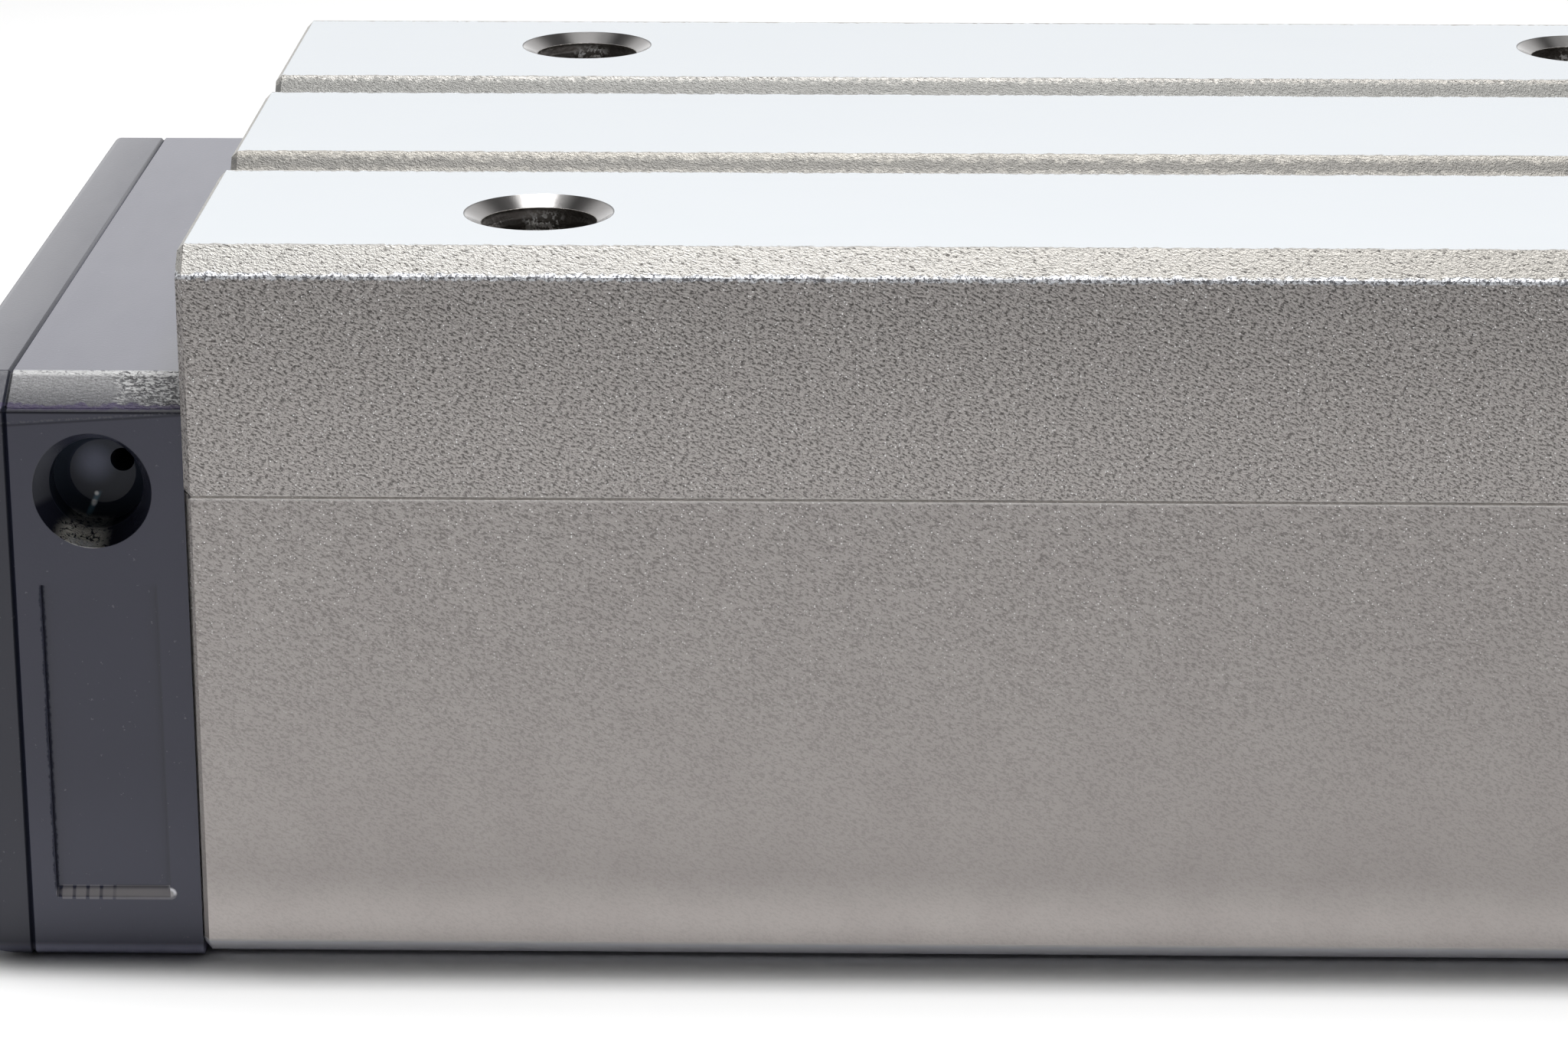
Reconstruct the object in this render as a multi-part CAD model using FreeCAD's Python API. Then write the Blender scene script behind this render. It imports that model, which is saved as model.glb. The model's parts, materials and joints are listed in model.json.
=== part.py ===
"""Recirculating-ball guide block (profile-rail carriage), size 35, long square type.

Units are millimetres.  X runs along the rail, Y across it and Z up.
The origin is the middle of the block on the plane that it stands on.
Heights in the section of the steel body count from the steel's underside.
"""
import FreeCAD, Part
import math
import os

Vector = FreeCAD.Vector

# Driving sizes: the section grows from the channel's wall and from the rows of balls
BODY_LENGTH = 114.6
CHANNEL_HALF_WIDTH = 17.7
LEG_WIDTH = 17.3
LOWER_ROW_Z = 7.2
ROW_SPACING = 10.0
UPPER_ROW_BELOW_CEILING = 4.2
CROWN_THICKNESS = 24.5
STAND_OFF = 0.3

# Outside of the steel body
TOP_BEVEL = 1.55
BOTTOM_BEVEL = 1.15
END_BEVEL = 0.45
SIDE_LINE_ABOVE_CHANNEL = 9.0
SIDE_LINE_HALF_HEIGHT = 0.1
SIDE_LINE_DEPTH = 0.22
SIDE_RELIEF = 0.1
END_RELIEF = 0.27
END_RELIEF_AT_FOOT = 0.12
END_RELIEF_DEPTH = 1.3
TOP_GROOVE_CENTRE = 11.6
TOP_GROOVE_WIDTH = 5.3
TOP_GROOVE_DEPTH = 1.1

# Tapped mounting holes in the top
HOLE_SPACING_X = 72.0
HOLE_SPACING_Y = 50.0
TAP_RADIUS = 3.6
TAP_DEPTH = 13.5
TAP_MOUTH_RADIUS = 4.68
TAP_MOUTH_HALF_ANGLE = 60.0
DRILL_TIP_HALF_ANGLE = 59.0

# Edges of the rail channel
CHANNEL_CORNER = 1.5
LEG_TOE_BEVEL = 0.8

# Balls and their four endless tracks
BALL_RADIUS = 3.175
BALLS_IN_ROW = 16
BALLS_IN_TURN = 2
ROW_BEHIND_WALL = 0.5
UPPER_TURN_ANGLE = 25.0
LOWER_TURN_ANGLE = 0.0
RACEWAY_CLEARANCE = 0.2
RETURN_CLEARANCE = 0.3
RETAINER_CLEARANCE = 0.3

# End caps
CAP_THICKNESS = 10.8
CAP_SIDE_INSET = 0.5
CAP_ABOVE_CHANNEL = 16.0
CAP_BEVEL_RUN = 3.1
CAP_BEVEL_DROP = 1.75
CAP_FOOT_RADIUS = 0.8
CAP_OPENING_CLEARANCE = 0.2
CAP_TONGUE_RADIUS = 2.9
SEAM_BEVEL = 0.18

# Grease ports
PORT_ABOVE_CHANNEL = 9.2
PORT_FROM_BODY = 5.65
PORT_RADIUS = 2.9
PORT_MOUTH_RADIUS = 3.65
PORT_MOUTH_DEPTH = 1.7
PORT_BORE_LENGTH = 1.6
PORT_FLOOR_RADIUS = 2.05
PORT_TAPER_LENGTH = 0.9
PASSAGE_RADIUS = 0.75
PASSAGE_LENGTH = 4.0
PASSAGE_RISE = 0.75
PASSAGE_OUTWARD = -1.25

# Bare panel on each side of a cap
PANEL_NEAR_END = 1.95
PANEL_FAR_END = 9.1
PANEL_BOTTOM = 4.4
PANEL_TOP = 24.5
PANEL_DEPTH = 0.4
PANEL_LIP_DROP = 0.6

# Return guides between the body and the caps
GUIDE_PLATE_THICKNESS = 1.5
GUIDE_PLATE_FROM_ROW = 0.2
GUIDE_PLATE_BELOW_ROW = 4.4
GUIDE_PLATE_ABOVE_ROW = 7.6
GUIDE_FLANGE = 0.8
GUIDE_SEAT_CLEARANCE = 0.1

# Seal covers and seals
COVER_THICKNESS = 3.75
COVER_CORNER_RADIUS = 0.6
COVER_FOOT_CURVE = 6.5
SEAL_THICKNESS = 1.2
SEAL_RECESS = 1.3
SEAL_BORDER = 4.2
SEAL_SEAT_CLEARANCE = 0.1
SEAL_LIP_INSET = 0.5
SEAL_TONGUE_RADIUS = 3.05
COVER_OPENING_MARGIN = 1.2

# Screws through the covers and caps
UPPER_SCREW_FROM_WALL = 2.3
UPPER_SCREW_ABOVE_CHANNEL = 9.0
LOWER_SCREW_FROM_SIDE = 4.8
LOWER_SCREW_ABOVE_ROW = 7.0
SCREW_RADIUS = 1.95
SCREW_HOLE_RADIUS = 2.15
SCREW_TAP_CLEARANCE = 0.05
SCREW_ENGAGEMENT = 8.0
SCREW_TAP_DEPTH = 10.0
SCREW_HEAD_RADIUS = 3.4
SCREW_HEAD_HEIGHT = 1.7
SCREW_HEAD_ROUND = 0.6
SCREW_HEAD_CLEARANCE = 0.25
SCREW_HEAD_SINK = 2.0
SCREW_SOCKET_WIDTH = 2.5
SCREW_SOCKET_DEPTH = 1.1

# Plug in the end grease port
END_PORT_ABOVE_CHANNEL = 8.8
END_PORT_RADIUS = 3.0
END_PORT_CLEARANCE = 0.05
END_PORT_DEPTH = 8.0
PLUG_LENGTH = 5.0
PLUG_SINK = 0.3
PLUG_SOCKET_WIDTH = 3.0
PLUG_SOCKET_DEPTH = 2.5
PLUG_EDGE_BEVEL = 0.4

# Ball retainers
TOP_RETAINER_THICKNESS = 1.0
TOP_RETAINER_GAP = 0.05
RETAINER_TIP_PAST_ROW = 3.6
RETAINER_TIP_REACH = 1.4
RETAINER_WALL_GAP = 0.1
MIDDLE_RETAINER_DEPTH = 1.7
MIDDLE_RETAINER_HALF_HEIGHT = 2.4
MIDDLE_RETAINER_SEAT_GAP = 0.05
BOTTOM_RETAINER_BELOW_ROW = 4.6

# Bottom seals
BOTTOM_SEAL_THICKNESS = 0.9
BOTTOM_SEAL_REACH = 2.5
BOTTOM_SEAL_SEAT_WIDTH = 6.3
BOTTOM_SEAL_GAP = 0.05
BOTTOM_SEAL_LIP_TAPER = 0.5

# Values that follow from the sizes above
HALF_LENGTH = BODY_LENGTH / 2
HALF_WIDTH = CHANNEL_HALF_WIDTH + LEG_WIDTH
UPPER_ROW_Z = LOWER_ROW_Z + ROW_SPACING
CHANNEL_HEIGHT = UPPER_ROW_Z + UPPER_ROW_BELOW_CEILING
BODY_HEIGHT = CHANNEL_HEIGHT + CROWN_THICKNESS
SIDE_LINE_HEIGHT = CHANNEL_HEIGHT + SIDE_LINE_ABOVE_CHANNEL
LOAD_ROW_Y = CHANNEL_HALF_WIDTH + ROW_BEHIND_WALL
CAP_HALF_WIDTH = HALF_WIDTH - CAP_SIDE_INSET
CAP_HEIGHT = CHANNEL_HEIGHT + CAP_ABOVE_CHANNEL
PORT_HEIGHT = CHANNEL_HEIGHT + PORT_ABOVE_CHANNEL
END_PORT_Z = CHANNEL_HEIGHT + END_PORT_ABOVE_CHANNEL
RETAINER_TIP_Y = LOAD_ROW_Y - RETAINER_TIP_PAST_ROW
BOTTOM_SEAL_INNER_Y = CHANNEL_HALF_WIDTH - BOTTOM_SEAL_REACH
BOTTOM_SEAL_OUTER_Y = CHANNEL_HALF_WIDTH + BOTTOM_SEAL_SEAT_WIDTH
BALL_PITCH = BODY_LENGTH / BALLS_IN_ROW
TURN_RADIUS = BALLS_IN_TURN * BALL_PITCH / math.pi
RACEWAY_RADIUS = BALL_RADIUS + RACEWAY_CLEARANCE
RETURN_RADIUS = BALL_RADIUS + RETURN_CLEARANCE
RETAINER_RADIUS = BALL_RADIUS + RETAINER_CLEARANCE
COVER_OUTER_X = HALF_LENGTH + CAP_THICKNESS + COVER_THICKNESS
TRACKS = {"upper": (UPPER_ROW_Z, UPPER_TURN_ANGLE), "lower": (LOWER_ROW_Z, LOWER_TURN_ANGLE)}
ENDS = {"left": -1, "right": 1}
SIDES = {"near": -1, "far": 1}
SCREW_PLACES = [
    (CHANNEL_HALF_WIDTH + UPPER_SCREW_FROM_WALL, CHANNEL_HEIGHT + UPPER_SCREW_ABOVE_CHANNEL),
    (HALF_WIDTH - LOWER_SCREW_FROM_SIDE, LOWER_ROW_Z + LOWER_SCREW_ABOVE_ROW),
]


def lift(shape):
    """Raise a shape from the steel's underside to the plane that the block stands on."""
    shape.translate(Vector(0, 0, STAND_OFF))
    return shape


def prism(points, x_start, x_end):
    """Solid along X from an outline of (y, z) points."""
    corners = [Vector(x_start, y, z) for y, z in points]
    wire = Part.makePolygon(corners + corners[:1])
    return Part.Face(wire).extrude(Vector(x_end - x_start, 0, 0))


def box(x_start, x_end, y_start, y_end, z_start, z_end):
    """Box between two corners."""
    size = (x_end - x_start, y_end - y_start, z_end - z_start)
    return Part.makeBox(*size, Vector(x_start, y_start, z_start))


def rod(radius, x_start, x_end, y, z):
    """Cylinder along X."""
    return Part.makeCylinder(radius, x_end - x_start, Vector(x_start, y, z), Vector(1, 0, 0))


def mirrored(points):
    """Close a half outline, given from the middle of the block outward, to both sides."""
    return points + [(-y, z) for y, z in reversed(points)]


def hexagon(width, x_start, x_end, y, z):
    """Hexagonal bar along X, measured across flats."""
    radius = width / math.sqrt(3)
    corners = []
    for corner in range(6):
        angle = math.radians(60 * corner)
        corners.append((y + radius * math.cos(angle), z + radius * math.sin(angle)))
    return prism(corners, x_start, x_end)


def to_end(shape, end):
    """Turn a piece that was built for the right end round to the end with this sign."""
    if end > 0:
        return shape
    return shape.mirror(Vector(0, 0, 0), Vector(1, 0, 0))


def to_side(shape, side):
    """Take a piece that was built for the far side across to the side with this sign."""
    if side > 0:
        return shape
    return shape.mirror(Vector(0, 0, 0), Vector(0, 1, 0))


def turn_direction(angle):
    """Unit vector in the section, from a load row to its return bore on the far side."""
    return Vector(0, math.cos(math.radians(angle)), math.sin(math.radians(angle)))


def turn_centre(row_z, angle):
    """Middle between a load row and its return bore, at the right end of the body."""
    return Vector(HALF_LENGTH, LOAD_ROW_Y, row_z) + turn_direction(angle) * TURN_RADIUS


def return_place(row_z, angle):
    """(y, z) of a return bore on the far side."""
    place = turn_centre(row_z, angle) + turn_direction(angle) * TURN_RADIUS
    return place.y, place.z


def tap():
    """Blind tapped hole with a drill tip and a conical mouth, cut downward from its top."""
    tip = TAP_RADIUS / math.tan(math.radians(DRILL_TIP_HALF_ANGLE))
    mouth_depth = (TAP_MOUTH_RADIUS - TAP_RADIUS) / math.tan(math.radians(TAP_MOUTH_HALF_ANGLE))
    outline = [
        Vector(0, 0, 0),
        Vector(TAP_MOUTH_RADIUS, 0, 0),
        Vector(TAP_RADIUS, 0, -mouth_depth),
        Vector(TAP_RADIUS, 0, -TAP_DEPTH),
        Vector(0, 0, -TAP_DEPTH - tip),
        Vector(0, 0, 0),
    ]
    return Part.Face(Part.makePolygon(outline)).revolve(Vector(0, 0, 0), Vector(0, 0, 1), 360)


def body_outline():
    """Outside of the steel body: bevels, the lines along the sides and the two top grooves."""
    line_top = SIDE_LINE_HEIGHT + SIDE_LINE_HALF_HEIGHT
    line_bottom = SIDE_LINE_HEIGHT - SIDE_LINE_HALF_HEIGHT
    lower_side = HALF_WIDTH - SIDE_RELIEF
    groove_inner = TOP_GROOVE_CENTRE - TOP_GROOVE_WIDTH / 2
    groove_outer = TOP_GROOVE_CENTRE + TOP_GROOVE_WIDTH / 2
    groove_floor = BODY_HEIGHT - TOP_GROOVE_DEPTH
    return mirrored([
        (groove_inner, BODY_HEIGHT),
        (groove_inner + TOP_GROOVE_DEPTH, groove_floor),
        (groove_outer - TOP_GROOVE_DEPTH, groove_floor),
        (groove_outer, BODY_HEIGHT),
        (HALF_WIDTH - TOP_BEVEL, BODY_HEIGHT),
        (HALF_WIDTH, BODY_HEIGHT - TOP_BEVEL),
        (HALF_WIDTH, line_top),
        (HALF_WIDTH - SIDE_LINE_DEPTH, SIDE_LINE_HEIGHT),
        (lower_side, line_bottom),
        (lower_side, BOTTOM_BEVEL),
        (lower_side - BOTTOM_BEVEL, 0.0),
    ])


def channel_outline():
    """Rail channel, with room for the bottom seals under the legs."""
    seal_top = BOTTOM_SEAL_THICKNESS + BOTTOM_SEAL_GAP
    seal_side = BOTTOM_SEAL_OUTER_Y + BOTTOM_SEAL_GAP
    return mirrored([
        (CHANNEL_HALF_WIDTH - CHANNEL_CORNER, CHANNEL_HEIGHT),
        (CHANNEL_HALF_WIDTH, CHANNEL_HEIGHT - CHANNEL_CORNER),
        (CHANNEL_HALF_WIDTH, seal_top + LEG_TOE_BEVEL),
        (CHANNEL_HALF_WIDTH + LEG_TOE_BEVEL, seal_top),
        (seal_side, seal_top),
        (seal_side, -1.0),
    ])


def middle_seat_outline():
    """Slot in the channel wall that holds a middle retainer, far side."""
    middle = (UPPER_ROW_Z + LOWER_ROW_Z) / 2
    half_height = MIDDLE_RETAINER_HALF_HEIGHT + MIDDLE_RETAINER_SEAT_GAP
    depth = CHANNEL_HALF_WIDTH + MIDDLE_RETAINER_DEPTH + MIDDLE_RETAINER_SEAT_GAP
    return [
        (CHANNEL_HALF_WIDTH - 1.0, middle - half_height),
        (depth, middle - half_height),
        (depth, middle + half_height),
        (CHANNEL_HALF_WIDTH - 1.0, middle + half_height),
    ]


def end_relief():
    """Tapered relief below the side line, at the right end of the far side of the body."""
    corners = [
        Vector(HALF_LENGTH + 1.0, 0, BOTTOM_BEVEL),
        Vector(HALF_LENGTH - END_RELIEF_AT_FOOT, 0, BOTTOM_BEVEL),
        Vector(HALF_LENGTH - END_RELIEF, 0, SIDE_LINE_HEIGHT),
        Vector(HALF_LENGTH + 1.0, 0, SIDE_LINE_HEIGHT),
    ]
    relief = Part.Face(Part.makePolygon(corners + corners[:1])).extrude(Vector(0, END_RELIEF_DEPTH + 1.0, 0))
    relief.translate(Vector(0, HALF_WIDTH - END_RELIEF_DEPTH, 0))
    return relief


def carriage_body():
    """Hardened steel body with its channel, raceways, return bores and tapped holes."""
    body = prism(body_outline(), -HALF_LENGTH, HALF_LENGTH)
    rim = [edge for edge in body.Edges if abs(abs(edge.CenterOfMass.x) - HALF_LENGTH) < 0.001]
    body = body.makeChamfer(END_BEVEL, rim)
    past = HALF_LENGTH + 1.0
    cuts = [prism(channel_outline(), -past, past)]
    for side in SIDES.values():
        cuts.append(to_side(prism(middle_seat_outline(), -past, past), side))
        for row_z, angle in TRACKS.values():
            return_y, return_z = return_place(row_z, angle)
            cuts.append(rod(RACEWAY_RADIUS, -past, past, side * LOAD_ROW_Y, row_z))
            cuts.append(rod(RETURN_RADIUS, -past, past, side * return_y, return_z))
        for end in ENDS.values():
            for screw_y, screw_z in SCREW_PLACES:
                hole = rod(SCREW_RADIUS + SCREW_TAP_CLEARANCE, HALF_LENGTH - SCREW_TAP_DEPTH, past,
                           side * screw_y, screw_z)
                cuts.append(to_end(hole, end))
            cuts.append(to_end(to_side(end_relief(), side), end))
            top_hole = tap()
            top_hole.translate(Vector(end * HOLE_SPACING_X / 2, side * HOLE_SPACING_Y / 2, BODY_HEIGHT))
            cuts.append(top_hole)
    return body.cut(cuts)


def cap_outline(foot_radius):
    """Outside of an end cap or seal cover in the section, as a face's wire with round feet."""
    top_half = CAP_HALF_WIDTH - CAP_BEVEL_RUN
    bevel_z = CAP_HEIGHT - CAP_BEVEL_DROP
    foot = -STAND_OFF
    curve = foot_radius * (1 - math.cos(math.radians(45)))

    def point(y, z):
        return Vector(0, y, z)

    edges = []
    for side in (1, -1):
        edges.append(Part.LineSegment(point(side * top_half, CAP_HEIGHT), point(side * CAP_HALF_WIDTH, bevel_z)))
        edges.append(Part.LineSegment(point(side * CAP_HALF_WIDTH, bevel_z),
                                      point(side * CAP_HALF_WIDTH, foot + foot_radius)))
        edges.append(Part.Arc(point(side * CAP_HALF_WIDTH, foot + foot_radius),
                              point(side * (CAP_HALF_WIDTH - curve), foot + curve),
                              point(side * (CAP_HALF_WIDTH - foot_radius), foot)))
    edges.append(Part.LineSegment(point(top_half, CAP_HEIGHT), point(-top_half, CAP_HEIGHT)))
    edges.append(Part.LineSegment(point(CAP_HALF_WIDTH - foot_radius, foot),
                                  point(foot_radius - CAP_HALF_WIDTH, foot)))
    return Part.Wire(Part.__sortEdges__([edge.toShape() for edge in edges]))


def cap_block(x_start, x_end):
    """Plain block with the outline of a cap."""
    block = Part.Face(cap_outline(CAP_FOOT_RADIUS)).extrude(Vector(x_end - x_start, 0, 0))
    block.translate(Vector(x_start, 0, 0))
    return block


def opening(x_start, x_end, margin):
    """Room for the rail through a cap, cover or seal, this much wider than the body's channel."""
    half_width = CHANNEL_HALF_WIDTH + margin
    height = CHANNEL_HEIGHT + margin
    return prism(mirrored([
        (half_width - CHANNEL_CORNER, height),
        (half_width, height - CHANNEL_CORNER),
        (half_width, -STAND_OFF - 1.0),
    ]), x_start, x_end)


def turn_tube(row_z, angle, radius):
    """Half ring that takes the balls round from a load row to its return bore, right end."""
    direction = turn_direction(angle)
    centre = turn_centre(row_z, angle)
    circle = Part.Circle(centre - direction * TURN_RADIUS, Vector(1, 0, 0), radius)
    section = Part.Face(Part.Wire(circle.toShape()))
    axis = direction.cross(Vector(1, 0, 0))
    return section.revolve(centre, axis, 180 if turns_outward(axis, direction) else -180)


def turns_outward(axis, direction):
    """True when a positive turn about this axis takes the load row out past the end first."""
    return axis.cross(-direction).x > 0


def guide_spool(row_z, angle, clearance):
    """Half drum that the balls run round, at the right end."""
    direction = turn_direction(angle)
    axis = direction.cross(Vector(1, 0, 0))
    half_length = RETURN_RADIUS + GUIDE_FLANGE + clearance
    start = turn_centre(row_z, angle) - axis * half_length
    drum = Part.makeCylinder(TURN_RADIUS + clearance, 2 * half_length, start, axis)
    reach = HALF_WIDTH + BODY_HEIGHT
    return drum.common(box(HALF_LENGTH, HALF_LENGTH + reach, -reach, reach, -reach, reach))


def guide_plate(clearance):
    """Plate that joins the two drums of a guide, at the right end."""
    inner_y = LOAD_ROW_Y + GUIDE_PLATE_FROM_ROW
    outer_y = LOAD_ROW_Y + 2 * TURN_RADIUS
    bottom = LOWER_ROW_Z - GUIDE_PLATE_BELOW_ROW
    top = UPPER_ROW_Z + GUIDE_PLATE_ABOVE_ROW
    return box(HALF_LENGTH, HALF_LENGTH + GUIDE_PLATE_THICKNESS + clearance,
               inner_y - clearance, outer_y + clearance, bottom - clearance, top + clearance)


def return_guide(end, side):
    """Inner half of the turnaround of one side: a plate with two grooved half drums."""
    guide = guide_plate(0)
    for row_z, angle in TRACKS.values():
        guide = guide.fuse(guide_spool(row_z, angle, 0))
    for row_z, angle in TRACKS.values():
        guide = guide.cut(turn_tube(row_z, angle, RETURN_RADIUS))
    holes = [rod(SCREW_HOLE_RADIUS, HALF_LENGTH - 1.0, COVER_OUTER_X, screw_y, screw_z)
             for screw_y, screw_z in SCREW_PLACES]
    return to_side(to_end(guide.removeSplitter().cut(holes), end), side)


def side_port():
    """Grease port in the far side of the right cap, with a conical mouth and a small passage."""
    x = HALF_LENGTH + PORT_FROM_BODY
    outward = Vector(0, 1, 0)
    mouth_floor = Vector(x, CAP_HALF_WIDTH - PORT_MOUTH_DEPTH, PORT_HEIGHT)
    bore_floor = mouth_floor - outward * PORT_BORE_LENGTH
    taper_floor = bore_floor - outward * PORT_TAPER_LENGTH
    mouth = Part.makeCone(PORT_RADIUS, PORT_MOUTH_RADIUS, PORT_MOUTH_DEPTH, mouth_floor, outward)
    bore = Part.makeCylinder(PORT_RADIUS, PORT_BORE_LENGTH, bore_floor, outward)
    taper = Part.makeCone(PORT_FLOOR_RADIUS, PORT_RADIUS, PORT_TAPER_LENGTH, taper_floor, outward)
    passage_start = taper_floor + Vector(PASSAGE_OUTWARD, -PASSAGE_LENGTH, PASSAGE_RISE)
    passage = Part.makeCylinder(PASSAGE_RADIUS, PASSAGE_LENGTH + PORT_TAPER_LENGTH, passage_start, outward)
    return mouth.fuse([bore, taper, passage])


def side_panel():
    """Bare recessed panel in the far side of the right cap, with a sloping lower lip."""
    floor_y = CAP_HALF_WIDTH - PANEL_DEPTH
    outline = [
        (floor_y, PANEL_BOTTOM),
        (floor_y, PANEL_TOP),
        (CAP_HALF_WIDTH + 1.0, PANEL_TOP),
        (CAP_HALF_WIDTH + 1.0, PANEL_BOTTOM - PANEL_LIP_DROP),
        (CAP_HALF_WIDTH, PANEL_BOTTOM - PANEL_LIP_DROP),
    ]
    return prism(outline, HALF_LENGTH + PANEL_NEAR_END, HALF_LENGTH + PANEL_FAR_END)


def bevelled(block, x):
    """Block with a fine bevel along its outline in the plane at x, which makes the seam line."""
    rim = [edge for edge in block.Edges if abs(edge.CenterOfMass.x - x) < 0.001]
    return block.makeChamfer(SEAM_BEVEL, rim)


def end_cap(end):
    """Moulded end cap: outer half of the turnarounds, screw holes, grease ports and panels."""
    inner_x = HALF_LENGTH
    outer_x = HALF_LENGTH + CAP_THICKNESS
    cap = bevelled(cap_block(inner_x, outer_x), outer_x)
    cap = cap.cut(opening(inner_x - 1.0, outer_x + 1.0, CAP_OPENING_CLEARANCE))
    tongues = []
    for side in SIDES.values():
        for row_z, angle in TRACKS.values():
            tongues.append(rod(CAP_TONGUE_RADIUS, inner_x, outer_x, side * LOAD_ROW_Y, row_z))
    cap = cap.fuse(tongues)
    cuts = [rod(END_PORT_RADIUS, outer_x + COVER_THICKNESS - END_PORT_DEPTH, outer_x + 1.0, 0, END_PORT_Z)]
    for side in SIDES.values():
        cuts.append(to_side(guide_plate(GUIDE_SEAT_CLEARANCE), side))
        cuts.append(to_side(side_port(), side))
        cuts.append(to_side(side_panel(), side))
        for row_z, angle in TRACKS.values():
            cuts.append(to_side(guide_spool(row_z, angle, GUIDE_SEAT_CLEARANCE), side))
            cuts.append(to_side(turn_tube(row_z, angle, RETURN_RADIUS), side))
        for screw_y, screw_z in SCREW_PLACES:
            cuts.append(rod(SCREW_HOLE_RADIUS, inner_x - 1.0, outer_x + 1.0, side * screw_y, screw_z))
    return to_end(cap.cut(cuts), end)


def seal_outline_block(x_start, x_end, border):
    """U-shaped block round the channel that the end seal or its seat fills."""
    half_width = CHANNEL_HALF_WIDTH + border
    height = CHANNEL_HEIGHT + border
    return prism(mirrored([
        (half_width - border, height),
        (half_width, height - border),
        (half_width, -STAND_OFF),
    ]), x_start, x_end)


def foot_curve():
    """Cutter that makes the foot of the right cover and seal curve up towards the outside."""
    inner_x = HALF_LENGTH + CAP_THICKNESS
    axis_z = COVER_FOOT_CURVE - STAND_OFF
    corner = box(inner_x, inner_x + COVER_FOOT_CURVE, -HALF_WIDTH, HALF_WIDTH, -STAND_OFF - 1.0, axis_z)
    barrel = Part.makeCylinder(COVER_FOOT_CURVE, 2 * HALF_WIDTH, Vector(inner_x, -HALF_WIDTH, axis_z),
                               Vector(0, 1, 0))
    return corner.cut(barrel)


def seal_cover(end):
    """Moulded cover over the end cap, with rounded outer edges and a seat for the end seal."""
    inner_x = HALF_LENGTH + CAP_THICKNESS
    cover = bevelled(cap_block(inner_x, COVER_OUTER_X), inner_x)
    rim = [edge for edge in cover.Edges if abs(edge.CenterOfMass.x - COVER_OUTER_X) < 0.001]
    cover = cover.makeFillet(COVER_CORNER_RADIUS, rim)
    cover = cover.cut(foot_curve())
    past = COVER_OUTER_X + 1.0
    cuts = [opening(inner_x - 1.0, past, COVER_OPENING_MARGIN)]
    seat = seal_outline_block(COVER_OUTER_X - SEAL_RECESS, past, SEAL_BORDER + SEAL_SEAT_CLEARANCE)
    cuts.append(seat)
    cuts.append(rod(END_PORT_RADIUS, inner_x - 1.0, past, 0, END_PORT_Z))
    for side in SIDES.values():
        for screw_y, screw_z in SCREW_PLACES:
            cuts.append(rod(SCREW_HOLE_RADIUS, inner_x - 1.0, past, side * screw_y, screw_z))
            cuts.append(rod(SCREW_HEAD_RADIUS + SCREW_HEAD_CLEARANCE, COVER_OUTER_X - SCREW_HEAD_SINK, past,
                            side * screw_y, screw_z))
    return to_end(cover.cut(cuts), end)


def end_seal(end):
    """Rubber seal plate whose inner edge follows the rail, with a tongue into each rail groove."""
    inner_x = COVER_OUTER_X - SEAL_RECESS
    outer_x = inner_x + SEAL_THICKNESS
    seal = seal_outline_block(inner_x, outer_x, SEAL_BORDER)
    seal = seal.cut(opening(inner_x - 1.0, outer_x + 1.0, -SEAL_LIP_INSET))
    tongues = []
    for side in SIDES.values():
        for row_z, angle in TRACKS.values():
            tongues.append(rod(SEAL_TONGUE_RADIUS, inner_x, outer_x, side * LOAD_ROW_Y, row_z))
    return to_end(seal.fuse(tongues).removeSplitter().cut(foot_curve()), end)


def cap_screws(end):
    """Four screws that hold a seal cover and an end cap to the body."""
    head_x = COVER_OUTER_X - SCREW_HEAD_SINK
    screws = []
    for side in SIDES.values():
        for screw_y, screw_z in SCREW_PLACES:
            head = rod(SCREW_HEAD_RADIUS, head_x, head_x + SCREW_HEAD_HEIGHT, side * screw_y, screw_z)
            rim = [edge for edge in head.Edges
                   if abs(edge.CenterOfMass.x - head_x - SCREW_HEAD_HEIGHT) < 0.001]
            head = head.makeFillet(SCREW_HEAD_ROUND, rim)
            shank = rod(SCREW_RADIUS, HALF_LENGTH - SCREW_ENGAGEMENT, head_x, side * screw_y, screw_z)
            socket = hexagon(SCREW_SOCKET_WIDTH, head_x + SCREW_HEAD_HEIGHT - SCREW_SOCKET_DEPTH,
                             head_x + SCREW_HEAD_HEIGHT + 1.0, side * screw_y, screw_z)
            screws.append(to_end(head.fuse(shank).cut(socket), end))
    return Part.makeCompound(screws)


def grease_plug(end):
    """Socket set screw that closes the grease port in the end."""
    outer_x = COVER_OUTER_X - PLUG_SINK
    plug = rod(END_PORT_RADIUS - END_PORT_CLEARANCE, outer_x - PLUG_LENGTH, outer_x, 0, END_PORT_Z)
    rim = [edge for edge in plug.Edges if len(edge.Vertexes) == 1]
    plug = plug.makeChamfer(PLUG_EDGE_BEVEL, rim)
    socket = hexagon(PLUG_SOCKET_WIDTH, outer_x - PLUG_SOCKET_DEPTH, outer_x + 1.0, 0, END_PORT_Z)
    return to_end(plug.cut(socket), end)


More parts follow.
